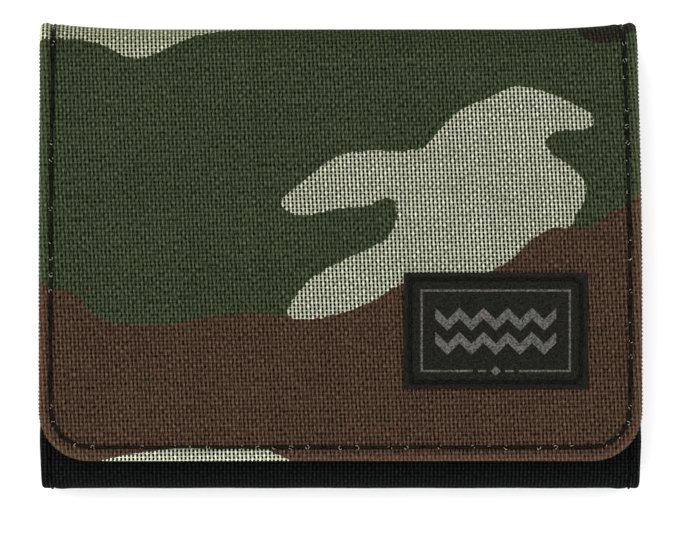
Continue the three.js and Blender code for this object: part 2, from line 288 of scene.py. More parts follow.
def sheet(
    name, lay, x_ends, s_ends, thickness, material, lift=0.0, soft=(1, 1, 1, 1), rim=None,
    corner=0.0, spacing=(1.5, 1.5), seam=False, relief=None, under=None, fabric=None, prints=None,
    knobs=0.0, seams=(), gape=None,
):
    """A closed sheet of cloth. soft says which of its edges are rounded: left, right, start, end.

    thickness and lift are numbers or functions of s. relief and under are functions of (x, s, edge)
    that raise its two faces, where edge is the distance from the nearest soft edge. seams are the
    lines of needle holes along which the cloth gets painted shade, more widely where the function
    given to spread that shade is over 1.
    """
    thick_at, lift_at = as_function(thickness), as_function(lift)
    rim = rim or 0.45 * float(np.max(thick_at(np.array(s_ends, float))))
    columns = grid_lines(x_ends, soft[:2], rim, spacing[0], seam)
    rows = grid_lines(s_ends, soft[2:], rim, spacing[1], seam)
    x, s = np.meshgrid(columns, rows, indexing="ij")
    gaps = [x - x_ends[0], x_ends[1] - x, s - s_ends[0], s_ends[1] - s]
    far = np.full_like(x, 1e3)
    edge = np.minimum.reduce([gap if is_soft else far for gap, is_soft in zip(gaps, soft)])
    if corner:
        for toward, end in ((-1, x_ends[0]), (1, x_ends[1])):
            centre = (end - toward * corner, s_ends[1] - corner)
            x, s = round_corner(x, s, centre, (toward, 1))
    inside = np.clip(1 - edge / rim, 0, 1)
    fall = thick_at(s) / 2 * (1 - np.sqrt(1 - inside**2))
    settle = 1 - inside**2
    top = lift_at(s) - fall
    bottom = lift_at(s) - thick_at(s) + fall
    if relief:
        top = top + settle * relief(x, s, edge)
    if under:
        bottom = bottom + settle * under(x, s, edge)
    laid_x = x + knobs * inside**2 * np.sign(x) * np.cos(2 * math.pi * s / COVER_WEAVE[1])
    flat = fabric(x, s) if fabric else (x, s)
    floats = prints(flat[0].ravel(), flat[1].ravel()) if prints else {}
    # painted highlight: the cloth is lightened near its soft, rolled edges, where light from the side
    # catches them
    floats["edge_wear_and_highlight"] = np.exp(-((edge / 1.1) ** 2))
    if seams:
        lines = np.minimum.reduce([distance_to_seam(x, s, holes)[0] for holes in seams])
        # painted shade: the cloth darkens along its seams, over a wider band on the flap's left side near
        # the fold
        floats["shade"] = np.exp(-((lines / (SEAM_SHADE * (gape(x, s) if gape else 1.0))) ** 2))
    sides = [(0, slice(None)), (-1, slice(None)), (slice(None), 0), (slice(None), -1)]
    return two_faced(
        name, lay.place(laid_x, s, top), lay.place(laid_x, s, bottom), edge < 1e-6,
        np.stack(flat, -1).reshape(-1, 2), material, floats,
        open_sides=[side for side, is_soft in zip(sides, soft) if not is_soft],
    )


def tube_points(centres, sides, radius):
    """Rings round a path whose points are (x, s, lift), and the faces that close them."""
    ahead = np.gradient(centres, axis=0)
    ahead /= np.linalg.norm(ahead, axis=1)[:, None]
    across = np.cross(ahead, [0.0, 0.0, 1.0])
    across /= np.maximum(np.linalg.norm(across, axis=1), 1e-9)[:, None]
    third = np.cross(across, ahead)
    angle = np.arange(sides) * 2 * math.pi / sides
    offset = np.cos(angle)[None, :, None] * across[:, None] + np.sin(angle)[None, :, None] * third[:, None]
    rings = centres[:, None] + radius * offset
    index = np.arange(len(centres) * sides).reshape(len(centres), sides)
    faces = grid_faces(index.T, closed=True).tolist()
    faces += [index[0, ::-1].tolist(), index[-1].tolist()]
    return rings.reshape(-1, 3), faces


def along_line(line):
    """How far along a line of points each of them lies."""
    return np.concatenate([[0], np.cumsum(np.linalg.norm(np.diff(line, axis=0), axis=1))])


def tubes(name, lay, paths, radius, material, sides=8):
    """One mesh of many closed tubes along paths of (x, s, lift)."""
    points, faces, fabric, total = [], [], [], 0
    around = np.arange(sides) / sides
    for path in paths:
        path = np.asarray(path, float)
        ring_points, ring_faces = tube_points(path, sides, radius)
        points.append(ring_points)
        faces += [[corner + total for corner in face] for face in ring_faces]
        fabric.append(np.stack(np.meshgrid(along_line(path), around, indexing="ij"), -1).reshape(-1, 2))
        total += len(ring_points)
    laid = lay.place(*np.concatenate(points).T)
    return make_mesh(name, laid, faces, material, np.concatenate(fabric))


# ---- seams
def needle_holes(line, pitch=STITCH, stray=0.05):
    """Evenly spaced points along a line of (x, s) points, each a little astray."""
    line = np.asarray(line, float)
    length = along_line(line)
    count = max(int(round(length[-1] / pitch)), 1)
    at = np.linspace(0, length[-1], count + 1)
    on_line = np.column_stack([np.interp(at, length, line[:, 0]), np.interp(at, length, line[:, 1])])
    return on_line + RANDOM.normal(0, stray, on_line.shape)


def side_seams(x, start, stop):
    """Needle holes down the left side and the right side, x from the middle."""
    return [needle_holes([(side, start), (side, stop)]) for side in (-x, x)]


def cross_seam(inset, s, pitch=STITCH):
    """Needle holes from side to side of the wallet."""
    return needle_holes([(-SIDE + inset, s), (SIDE - inset, s)], pitch)


def seam_frame(x_ends, s_ends, inset):
    """A rectangle of stitching inside a patch."""
    x0, x1 = x_ends[0] + inset, x_ends[1] - inset
    s0, s1 = s_ends[0] + inset, s_ends[1] - inset
    return [(x0, s0), (x1, s0), (x1, s1), (x0, s1), (x0, s0)]


def round_three_sides(x_ends, s_ends, inset, corner):
    """A line down the left side, round the end and up the right side, with rounded corners."""
    radius = corner - inset
    centre_s = s_ends[1] - corner - SEAM_DRIFT
    angle = np.linspace(0, math.pi / 2, 12)
    near, far = radius * np.sin(angle), radius * np.cos(angle)
    left = np.column_stack([x_ends[0] + corner - far, centre_s + near])
    right = np.column_stack([x_ends[1] - corner + near, centre_s + far])
    start = [[x_ends[0] + inset + SEAM_DRIFT, s_ends[0]]]
    stop = [[x_ends[1] - inset - SEAM_DRIFT, s_ends[0]]]
    return np.concatenate([start, left, right, stop])


def gap_to_line(x, y, start, stop):
    """How far points are from the straight line between two others."""
    step = stop - start
    along = ((x - start[0]) * step[0] + (y - start[1]) * step[1]) / (step @ step)
    along = np.clip(along, 0, 1)
    return np.hypot(x - start[0] - along * step[0], y - start[1] - along * step[1])


def distance_to_seam(x, s, holes):
    """How far each point is from a seam's line, and from its nearest needle hole."""
    far = np.full(x.shape, 99.0)
    line = np.minimum.reduce([far] + [gap_to_line(x, s, *ends) for ends in zip(holes[:-1], holes[1:])])
    hole = np.minimum.reduce([far] + [np.hypot(x - place[0], s - place[1]) for place in holes])
    return line, hole


def pulled_in(seams, depth=0.3, dimple=0.22):
    """A relief that sinks along seams and deeper at each needle hole."""

    def relief(x, s, edge):
        total = np.zeros_like(x)
        for holes in seams:
            line, hole = distance_to_seam(x, s, holes)
            total -= depth * np.exp(-((line / 0.45) ** 2)) + dimple * np.exp(-((hole / 0.5) ** 2))
        return total

    return relief


def hemmed(seams, depth=0.42, crown=0.22):
    """A sewn hem: a puffed rim, the sunken seam and the padding that rises inside it."""
    sunk = pulled_in(seams, depth)

    def relief(x, s, edge):
        rim = crown * np.exp(-(((edge - 1.0) / 0.6) ** 2))
        padding = 0.14 * np.exp(-(((edge - 3.9) / 1.1) ** 2))
        return sunk(x, s, edge) + rim + padding

    return relief


def stitches(name, lay, seams, lift, material, radius=THREAD / 2, slant=0.1, dive=0.34):
    """Every stitch of some seams: a thread that comes up at one hole and goes down at the next."""
    paths = []
    share = np.linspace(0.05, 0.95, 9)
    arch = 0.16 * np.sin(math.pi * share)
    for holes in seams:
        for start, stop in zip(holes[:-1], holes[1:]):
            step = stop - start
            across = np.array([-step[1], step[0]]) / np.linalg.norm(step)
            middle = start + share[:, None] * step + (share - 0.5)[:, None] * slant * across
            height = lift + arch - dive * np.abs(2 * share - 1) ** 7
            paths.append(np.column_stack([middle, height + RANDOM.uniform(-0.03, 0.03)]))
    return tubes(name, lay, paths, radius, material)


def highlight_specks(name, lay, seams, lift, material, share=0.65):
    """Painted highlights: short pale curls at some of the needle holes, where light catches the cloth that
    the stitches pull up.
    """
    paths = []
    bend = np.linspace(0, 1, 6)
    for holes in seams:
        for hole in holes[1:-1]:
            if RANDOM.uniform() > share:
                continue
            for _ in range(RANDOM.integers(2, 6)):
                turn = RANDOM.uniform(0, 2 * math.pi)
                curl = turn + RANDOM.uniform(-1.5, 1.5) * bend
                reach = 0.3 + RANDOM.uniform(0.05, 0.16) * bend
                x = hole[0] + reach * np.cos(curl)
                s = hole[1] + reach * np.sin(curl)
                paths.append(np.column_stack([x, s, lift + 0.08 * np.sin(math.pi * bend)]))
    return tubes(name, lay, paths, 0.06, material, sides=5)


# ---- materials
def linear(red, green, blue):
    """A display colour from 0 to 255, as the shader's linear colour."""
    values = np.array([red, green, blue]) / 255
    values = np.where(values <= 0.04045, values / 12.92, ((values + 0.055) / 1.055) ** 2.4)
    return (*values.tolist(), 1.0)


def arithmetic(operation, swapped=False):
    """A method of Value that adds a node for one operation."""

    def apply(self, *others):
        values = (*others, self) if swapped else (self, *others)
        return self.shader.node("Math", 0, *values, operation=operation)

    return apply


class Value:
    """A number or a vector that a material's nodes work out. Arithmetic with it adds nodes."""

    def __init__(self, shader, socket):
        self.shader = shader
        self.socket = socket

    __add__ = __radd__ = arithmetic("ADD")
    __mul__ = __rmul__ = arithmetic("MULTIPLY")
    __sub__ = arithmetic("SUBTRACT")
    __rsub__ = arithmetic("SUBTRACT", swapped=True)
    __truediv__ = arithmetic("DIVIDE")
    __pow__ = arithmetic("POWER")
    __abs__ = arithmetic("ABSOLUTE")
    floor = arithmetic("FLOOR")
    fract = arithmetic("FRACT")
    modulo = arithmetic("FLOORED_MODULO")
    ping_pong = arithmetic("PINGPONG")
    at_least = arithmetic("MAXIMUM")


class Shader:
    """Short calls for building a material's nodes."""

    def __init__(self, name, roughness=0.8, specular=0.3, metallic=0.0):
        self.material = bpy.data.materials.new(name)
        self.material.use_nodes = True
        self.nodes = self.material.node_tree.nodes
        self.links = self.material.node_tree.links
        self.surface = self.nodes["Principled BSDF"]
        self.surface.inputs["Roughness"].default_value = roughness
        self.surface.inputs["Specular IOR Level"].default_value = specular
        self.surface.inputs["Metallic"].default_value = metallic

    def put(self, value, socket):
        if isinstance(value, Value):
            self.links.new(value.socket, socket)
        else:
            socket.default_value = value

    def set(self, name, value):
        self.put(value, self.surface.inputs[name])

    def node(self, kind, output, *values, **settings):
        """Adds a node with its settings and its first inputs, of which None is left alone."""
        node = self.nodes.new(f"ShaderNode{kind}")
        for key, setting in settings.items():
            setattr(node, key, setting)
        for value, socket in zip(values, node.inputs):
            if value is not None:
                self.put(value, socket)
        return Value(self, node.outputs[output])

    def mix(self, factor, first, second, blend="MIX"):
        other_kinds = [None] * 5
        return self.node("Mix", 2, factor, *other_kinds, first, second, data_type="RGBA", blend_type=blend)

    def toned(self, colour, tone):
        """A colour made lighter or darker."""
        return self.mix(1.0, colour, self.combine(tone, tone, tone), "MULTIPLY")

    def step(self, value, low, high, start=0.0, stop=1.0):
        return self.node("MapRange", 0, value, low, high, start, stop, interpolation_type="SMOOTHSTEP")

    def attribute(self, name, output="Fac"):
        return self.node("Attribute", output, attribute_name=name)

    def fabric(self):
        """The place on the flat cloth, as a vector and as its two numbers."""
        flat = self.attribute("fabric", "Vector")
        x = self.node("SeparateXYZ", 0, flat)
        return flat, x, Value(self, x.socket.node.outputs[1])

    def combine(self, x, y, z=0.0):
        return self.node("CombineXYZ", 0, x, y, z)

    def noise(self, vector, scale, detail=2.0):
        return self.node("TexNoise", "Fac", vector, None, scale, detail)

    def scatter(self, x, y, seed):
        return self.node("TexWhiteNoise", "Value", self.combine(x, y, seed))

    def bump(self, height, depth):
        node = self.nodes.new("ShaderNodeBump")
        node.inputs["Distance"].default_value = depth * MM
        self.put(height, node.inputs["Height"])
        self.links.new(node.outputs["Normal"], self.surface.inputs["Normal"])


def ridges(value):
    """A wave that repeats at each whole number: 0.5 there and 0 half way between."""
    return abs(value.fract() - 0.5)


def plain_weave(sh, pitch, warp_lean=0.0, weft_lean=0.0):
    """Over-and-under weave: where threads are, which one is on top, and the holes between them."""
    flat, x, y = sh.fabric()
    u = (x + y * warp_lean) / pitch[0] + sh.noise(flat, 0.16) * WAVER
    v = (y - x * weft_lean) / pitch[1] + sh.noise(sh.combine(y, x, 9.0), 0.16) * WAVER
    column, row = u.floor(), v.floor()
    across_u, across_v = u.fract() - 0.5, v.fract() - 0.5
    weft_over = (column + row).modulo(2.0)
    turned = weft_over * (across_v - across_u)
    crown = 1 - abs(across_u + turned) ** 2.0 * 3.3
    length = 1 - abs(across_v - turned) ** 2.0 * 2.6
    hole = sh.step(abs(across_u), 0.21, 0.27) * sh.step(abs(across_v), 0.08, 0.15)
    warp = sh.scatter(column, 0.0, 1.0)
    weft = sh.scatter(0.0, row, 2.0)
    return SimpleNamespace(
        flat=flat,
        across_cloth=y,
        height=crown * length - hole,
        hole=hole,
        weft_over=weft_over,
        thread=warp + weft_over * (weft - warp),
        cell=sh.scatter(column, row, 3.0),
        # painted highlight: bright streaks along the threads, as if they caught the light
        strand_glint=sh.noise(sh.combine(x * 4.2, y * 1.1), 1.0, 1.0),
    )


def weave_tone(sh, weave, colour, contrast=1.0):
    """Shades a thread by height as painted shade, gives it its own tone, and adds painted highlights on
    strands and along rolled edges, and painted shade at seams.
    """
    # painted shade: a thread is lighter at its crown and darker at its sides and where it dives under the
    # next
    tone = weave.height * (0.9 * contrast) + (0.80 - 0.66 * contrast)
    tone += weave.thread * 0.20 + weave.cell * (0.24 * contrast)
    # painted highlight: thin bright streaks along the threads
    tone += sh.step(weave.strand_glint, 0.32, 0.70, -0.42, 1.15) * (0.4 + 0.6 * contrast)
    tone *= 1 - weave.weft_over * 0.24
    tone += (sh.noise(weave.flat, 3.6, 1.0) - 0.5) * (0.7 * contrast)
    # painted highlight along the rolled edges
    tone += sh.attribute("edge_wear_and_highlight") * 0.75
    return sh.toned(colour, tone.at_least(0.04) * (1 - sh.attribute("shade") * 0.86))


def woven(name, colour, hole_colour, pitch, depth=0.16, roughness=0.75, contrast=1.0):
    """A cloth of one colour in plain weave."""
    sh = Shader(name, roughness, 0.02)
    weave = plain_weave(sh, pitch)
    cloth = weave_tone(sh, weave, colour, contrast)
    sh.set("Base Color", sh.mix(weave.hole * 0.85, cloth, hole_colour))
    sh.bump(weave.height, depth)
    return sh.material


GREEN = linear(50, 58, 40)
BROWN = linear(66, 49, 38)
PALE = linear(156, 159, 138)
BLACK = linear(37, 34, 30)
FOLD_SHADE = (0.74, 0.76, 0.62, 1.0)  # painted shade: a darker, greener tint multiplied into the cloth over the top fold
DARK_HOLE = linear(12, 16, 7)
PALE_HOLE = linear(3, 4, 1)


def printed_cloth():
    """The cover cloth, printed in four colours over its dark backing."""
    sh = Shader("printed_cloth", 0.75, 0.02)
    weave = plain_weave(sh, COVER_WEAVE, WARP_LEAN, WEFT_LEAN)
    wobble = (weave.cell - 0.5) * 0.34
    colour = GREEN
    inside = {}
    for key, ink in (("brown", BROWN), ("pale", PALE), ("black", BLACK)):
        inside[key] = sh.step(sh.attribute(key) + wobble, 0.05, -0.05)
        colour = sh.mix(inside[key], colour, ink)
    colour = sh.toned(colour, sh.noise(weave.flat, 0.06, 3.0) * 0.3 + 0.85)
    # painted shade over the top fold, where the cloth rounds away from the light
    fold_shade = sh.step(weave.across_cloth, BEND_Y - 2, FOLD_Y)
    colour = sh.mix(fold_shade * 0.8, colour, FOLD_SHADE, "MULTIPLY")
    deep = weave_tone(sh, weave, colour, 0.75)
    shallow = weave_tone(sh, weave, colour, 0.25)
    cloth = sh.mix(inside["pale"], deep, shallow)
    hole_colour = sh.mix(inside["pale"], DARK_HOLE, PALE_HOLE)
    sh.set("Base Color", sh.mix(weave.hole * (inside["pale"] * 0.86 + 0.14), cloth, hole_colour))
    sh.bump(weave.height, 0.16)
    return sh.material


def two_tone(name, pattern, colours, depth, roughness, specular, sheen=0.0):
    """A material whose colour and bump both follow pattern(shader, flat, along, around)."""
    sh = Shader(name, roughness, specular)
    height = pattern(sh, *sh.fabric())
    sh.set("Base Color", sh.mix(height, *[linear(*colour) for colour in colours]))
    sh.set("Sheen Weight", sheen)
    sh.bump(height, depth)
    return sh.material


def twisted(sh, flat, along, around):
    """The plies of a thread."""
    return ridges((along / THREAD + around) * 2)


def streaked(sh, flat, along, around):
    """Streaks along a wire."""
    return sh.noise(sh.combine(along * 0.4, around * 9.0), 2.0)


def matted(scale, detail=3.0):
    """A pattern like a mat of short fibres."""
    return lambda sh, flat, *_: sh.noise(flat, scale, detail)


def label_material():
    """A black woven label with a thin grey frame, two rows of chevrons and a small diamond."""
    sh = Shader("woven_label", 0.7, 0.05)
    flat, x, y = sh.fabric()
    frame_x, frame_y = 14.7, 8.0
    break_x = 4.5
    from_middle = abs(x)
    ring = abs((from_middle - frame_x).at_least(abs(y) - frame_y))
    at_break = sh.step(from_middle, break_x + 0.1, break_x) * sh.step(y, 1 - frame_y, 0.9 - frame_y)
    grey = (sh.step(ring, 0.26, 0.16) - at_break).at_least(0.0)
    zigzag = x.ping_pong(2.4) - 1.2
    in_row = sh.step(from_middle, 12.05, 11.95)
    for middle in (2.3, -2.5):
        grey = grey.at_least(sh.step(abs(y - middle - zigzag), 1.15, 1.05) * in_row)
    from_foot = abs(y + frame_y)
    diamond = sh.step(from_foot + from_middle, 1.05, 0.95)
    dash = sh.step(abs(from_middle - 2.7), 0.85, 0.8) * sh.step(from_foot, 0.26, 0.16)
    grey = grey.at_least(diamond).at_least(dash)
    weave = ridges(x / 0.42 + y / 0.3) + ridges(y / 0.24) * 0.7
    speck = sh.scatter((x / 0.3).floor(), (y / 0.24).floor(), 5.0)
    lint = sh.step(sh.noise(flat, 2.3, 3.0), 0.35, 0.68, -0.25, 0.55)
    tone = (speck * 0.9 + weave * 0.9 + lint) * (1 - sh.attribute("shade") * 0.6)
    sh.set("Base Color", sh.toned(sh.mix(grey, linear(22, 22, 19), linear(75, 73, 70)), tone))
    sh.bump(grey * 0.6 + weave, 0.07)
    return sh.material


def ribbed(name, colour, pitch):
    """Grosgrain binding: fine ribs across the tape."""
    sh = Shader(name, 0.6)
    _, x, y = sh.fabric()
    rib = ridges(x / pitch)
    speck = sh.scatter((x / pitch).floor(), (y / 0.5).floor(), 1.0)
    sh.set("Base Color", sh.toned(linear(*colour), speck * 0.3 + 1.1 - rib))
    sh.bump(rib * -1.0, 0.08)
    return sh.material


def painted_metal():
    """Black paint over a zinc casting, rubbed on its edges and pitted a little."""
    sh = Shader("painted_metal", 0.38, 0.5, 0.85)
    grain = sh.noise(sh.node("TexCoord", "Object"), 2500.0, 3.0)
    edge = sh.node("NewGeometry", "Pointiness")
    edge_wear_and_highlight = sh.step(edge, 0.52, 0.60) * sh.step(grain, 0.35, 0.6)
    sh.set("Base Color", sh.mix(edge_wear_and_highlight, linear(52, 52, 54), linear(168, 166, 162)))
    sh.set("Roughness", grain * 0.25 + 0.28)
    sh.bump(grain, 0.02)
    return sh.material


def film_material():
    """Clear film with a slight ripple."""
    sh = Shader("clear_film", 0.12, 0.5)
    sh.set("Base Color", linear(112, 118, 122))
    sh.set("Alpha", 0.14)
    sh.bump(sh.noise(sh.fabric()[0], 0.05), 0.6)
    return sh.material


PRINTED = printed_cloth()
BLACK_CLOTH = woven("black_cloth", linear(17, 18, 18), linear(2, 2, 2), (0.78, 0.68), 0.14)
LINING_CLOTH = woven("lining_cloth", linear(34, 34, 36), linear(8, 8, 8), (0.42, 0.42), 0.07, 0.6, 0.7)
TAPE_CLOTH = woven("zip_tape_cloth", linear(28, 28, 29), linear(7, 7, 7), (0.5, 0.5), 0.1, 0.65, 0.8)
BINDING = ribbed("binding_tape", (40, 40, 42), 0.6)
THREADS = two_tone("sewing_thread", twisted, [(12, 12, 11), (3, 3, 3)], 0.06, 0.5, 0.07)
# painted highlight: the pale colour of the specks at the flap seam's needle holes
HIGHLIGHT_SPECKS = two_tone("painted_highlight_speck", matted(3.0, 2.0), [(104, 100, 86), (160, 156, 140)], 0.02, 0.7, 0.05)
LABEL_CLOTH = label_material()
HOOKS = two_tone("hook_tape", matted(1.4), [(14, 14, 14.5), (28, 28, 29)], 0.25, 0.85, 0.2, 0.3)
LOOPS = two_tone("loop_tape", matted(0.9), [(17, 17, 17.5), (34, 34, 35)], 0.4, 0.85, 0.2, 0.3)
METAL = painted_metal()
COIL = two_tone("zip_coil", streaked, [(20, 20, 21), (40, 40, 42)], 0.03, 0.42, 0.45)
FILM = film_material()


# ---- the print
def smooth_outline(corners, steps=6):
    """A closed curve that passes smoothly through its corners."""
    corners = np.array(corners, float)
    share = (np.arange(steps) / steps)[:, None]
    parts = []
    for before, start, stop, after in zip(
        np.roll(corners, 1, 0), corners, np.roll(corners, -1, 0), np.roll(corners, -2, 0)
    ):
        bend = 2 * before - 5 * start + 4 * stop - after
        twist = 3 * (start - stop) + after - before
        parts.append(start + 0.5 * ((stop - before) * share + bend * share**2 + twist * share**3))
    return np.concatenate(parts)


def signed_distance(x, y, outline, margin=3.0):
    """The distance to a closed outline, below zero inside it, and margin wherever it is far."""
    result = np.full(x.shape, margin)
    low, high = outline.min(0) - margin, outline.max(0) + margin
    near = (x > low[0]) & (x < high[0]) & (y > low[1]) & (y < high[1])
    x, y = x[near], y[near]
    gap = np.full(x.shape, margin)
    inside = np.zeros(x.shape, bool)
    for start, stop in zip(outline, np.roll(outline, -1, 0)):
        gap = np.minimum(gap, gap_to_line(x, y, start, stop))
        crosses = (start[1] > y) != (stop[1] > y)
        run, rise = stop - start
        inside ^= crosses & (x < start[0] + run * (y - start[1]) / (rise or 1e-9))
    result[near] = np.where(inside, -gap, gap)
    return result


# The outlines are drawn on the unrolled cover: x, and a y that is the flap's own on the flap and runs
# on over the top fold and down the back.
PALE_SHAPES = [
    [
        (-11.5, 11.8), (-7, 15.7), (-2, 19.6), (3.5, 21.3), (15.5, 21.7), (19.2, 25), (23.5, 29.3),
        (30.5, 32.3), (34, 33.9), (37, 34.3), (42.7, 32.5), (49, 29.6), (50.7, 27.9), (49.3, 25.8),
        (44.2, 25.5), (41.2, 24), (41.8, 21.2), (46.5, 17.9), (48.8, 14.8), (48.3, 11),
        (46.6, 8.5), (45.9, 6.4), (41.5, 5.8), (37, 2.9), (33, -0.8), (27, -3.2), (12.6, -5),
        (6.3, -8.6), (-2.1, -11.4), (-7.5, -12.2), (-10.5, -11.2), (-9.2, -8), (-5.5, -3.8),
        (2, 0.4), (8.5, 3.5), (11, 7.3), (10.9, 11.2), (8.9, 12.1), (5, 10.5), (-1.5, 9.8),
        (-6.5, 8.6), (-10.2, 9.2),
    ],
    [
        (-66, 43.5), (-57, 43.5), (-52, 43.5), (-48, 42.7), (-45, 41.2), (-42, 40.1), (-39.3, 40),
        (-36.5, 41.1), (-32, 43.2), (-27, 45.5), (-21, 47.1), (-15, 48.6), (-14, 52), (-22, 56),
        (-36, 58), (-46, 63), (-56, 61), (-66, 60),
    ],
    [(-50, -42.5), (-45.5, -39.8), (-39, -38.6), (-31, -37.7), (-18, -37.5), (-13.5, -38.5), (-9.5, -43)],
    [
        (14, 70), (22, 66), (33, 69), (40, 76), (52, 79), (57, 86), (50, 93), (39, 91), (31, 97),
        (20, 99), (13, 92), (2, 89), (-4, 82), (3, 77),
    ],
    [
        (-52, 108), (-44, 102), (-33, 104), (-27, 112), (-15, 116), (-11, 125), (-20, 131), (-31, 127),
        (-38, 133), (-49, 130), (-56, 120),
    ],
    [(22, 124), (33, 119), (46, 123), (50, 132), (41, 139), (30, 134), (20, 133)],
]
BROWN_SHAPES = [
    [
        (-66, -6.3), (-57, -6.2), (-53.5, -6.4), (-51.5, -8), (-49.6, -10.8), (-46.8, -12.5),
        (-41, -13.1), (-34, -13.1), (-28, -11.7), (-22, -11), (-15.6, -10.9), (-10, -11.2), (0, -9),
        (12, -3.4), (25, 0), (35, 4), (42, 7.6), (46.3, 6.6), (49.5, 6.1), (51.5, 7.4), (53.3, 9),
        (56, 10), (66, 10.8), (66, -52), (-66, -52),
    ],
    [
        (34, 52), (46, 54), (66, 50), (66, 72), (56, 70), (45, 66), (36, 63), (28, 58),
    ],
    [
        (-66, 70), (-55, 73), (-44, 70), (-32, 76), (-24, 84), (-10, 88), (-3, 97), (-14, 104),
        (-30, 98), (-45, 101), (-66, 96),
    ],
    [
        (-2, 118), (10, 110), (24, 112), (38, 104), (52, 107), (66, 102), (66, 121), (52, 118),
        (38, 122), (26, 120), (14, 126), (2, 136), (-8, 130),
    ],
]
BLACK_SHAPES = [
    [
        (48.4, 47), (48.9, 44.6), (50.8, 43.2), (53, 42.8), (55.4, 43), (57, 43.8), (59, 44.9),
        (66, 45.2), (66, 50), (56, 52), (49, 50.5),
    ],
    [(-10, 58), (2, 55), (12, 59), (9, 64), (-4, 66), (-14, 63)],
    [(-24, 90), (-12, 94), (-2, 103), (4, 101), (8, 106), (-2, 111), (-16, 106), (-28, 97)],
    [(-60, 138), (-46, 135), (-30, 140), (-14, 137), (-6, 142), (-20, 148), (-60, 148)],
    [(48, 96), (60, 92), (66, 96), (66, 100), (55, 101)],
]
UNROLLED = BEND_Y + OVER_TOP.run  # the unrolled y at the middle of the top spine


def camouflage(x, y):
    """Each ink's signed distance at points of the unrolled cover."""
    inks = {"brown": BROWN_SHAPES, "pale": PALE_SHAPES, "black": BLACK_SHAPES}
    return {
        ink: np.minimum.reduce([signed_distance(x, y, smooth_outline(shape)) for shape in shapes])
        for ink, shapes in inks.items()
    }


# ---- how pieces join the frame
def ride_as(piece, body, slot, *nodes):
    """Puts a piece on a body and hides the CAD nodes it stands for."""
    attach(piece, body)
    if nodes:
        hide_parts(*nodes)
    return piece


def bend_as(piece, wrap, panel, slot, *nodes):
    """Hides the CAD nodes that a piece stands for and bakes its placing into its mesh."""
    if nodes:
        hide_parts(*nodes)
    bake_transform(piece)


def sew(name, lay, seams, lift, body, *nodes, **look):
    """The thread of some seams on a body."""
    return ride_as(stitches(name, lay, seams, lift, THREADS, **look), body, "thread", *nodes)


def dress(node, name, lay, thickness, material, body, slot, sewn_on=(), **look):
    """Dresses a CAD sheet with cloth of the same outline, laid on a panel."""
    x_ends, y_ends, _ = spans(node)
    piece = sheet(name, lay, x_ends, lay.stretch(y_ends), thickness, material, **look)
    ride_as(piece, body, slot, node)
    return piece


def rising(start, stop, first, last):
    """A smooth change along the cloth, from first before start to last after stop."""

    def value(s):
        share = np.clip((np.asarray(s, float) - start) / (stop - start), 0, 1)
        return first + (last - first) * share**2 * (3 - 2 * share)

    return value


# ---- printed cover
cover_depth = rising(OVER_TOP.run - 4, OVER_TOP.run + 6, SPINE, PANEL)


def wider_seam_shade(x, s):
    """Spreads the flap seam's painted shade wider where the left side is drawn over the fold."""
    return 1 + 0.9 * np.exp(-(((s - 6) / 11) ** 2)) * (x < 0)


def folded(name, wrap, end, thickness, material, panel, slot, nodes=(), side=SIDE, sewn_on=(), **look):
    """A sheet from side to side, and from the middle of a spine round the bend to its end."""
    piece = sheet(name, wrap, (-side, side), (0, end), thickness, material, soft=FROM_SPINE, **look)
    bend_as(piece, wrap, panel, slot, *nodes)


def printed_cover(name, wrap, end, panel, nodes, seams, s_sign, **look):
    """A folded sheet of the print. s_sign says which way s runs on the unrolled cover."""
    folded(
        name, wrap, end, cover_depth, PRINTED, panel, "cover_cloth", nodes, rim=0.85,
        spacing=(0.8, 0.4), seam=True, seams=seams, prints=camouflage,
        fabric=lambda x, s: (x, UNROLLED + s_sign * s), **look,
    )


def flap_cover():
    """The cloth over the flap, its seam round three sides and pale specks at the seam's needle holes, which
    are painted highlights.
    """
    end = OVER_TOP.reach(FLAP_EDGE_Y)
    holes = needle_holes(round_three_sides((-SIDE, SIDE), (0, end), SEAM_INSET, FLAP_CORNER))
    printed_cover(
        "printed_cover_flap", OVER_TOP, end, "flap", ["flap_cover", "flap_interlining"], [holes], -1,
        corner=FLAP_CORNER, relief=hemmed([holes]), knobs=0.15, gape=wider_seam_shade,
    )
    seam = stitches("flap_seam", OVER_TOP, [holes], -0.24, THREADS)
    bend_as(seam, OVER_TOP, "flap", "thread", "flap_stitching")
    # painted highlights: pale specks at the seam's needle holes
    fibres = highlight_specks("flap_seam_highlight_specks", OVER_TOP, [holes], 0.02, HIGHLIGHT_SPECKS)
    bend_as(fibres, OVER_TOP, "flap", "cover_cloth")


def back_cover():
    """The cloth under the back panel, from the top spine to where the black cover takes over."""
    end = UNDER_TOP.reach(JOIN_Y)
    left, right = side_seams(SIDE - SEAM_INSET, 0, end - 1)
    foot = cross_seam(1, end - 1.8)
    nodes = ["back_cover", "back_interlining", "top_spine_cover"]
    seams = [left, right, foot]
    printed_cover(
        "printed_cover_back", UNDER_TOP, end, "back", nodes, seams, 1, knobs=0.1,
        lift=rising(OVER_TOP.run - 4, OVER_TOP.run + 6, 0.0, BACK_DROP), relief=hemmed(seams, 0.3, 0.0),
    )
    for name, holes in (("left", left), ("right", right), ("foot", foot)):
        seam = stitches(f"back_seam_{name}", UNDER_TOP, [holes], -0.52, THREADS)
        nodes = [] if name == "foot" else [f"back_stitching_{name}"]
        bend_as(seam, UNDER_TOP, "back", "thread", *nodes)


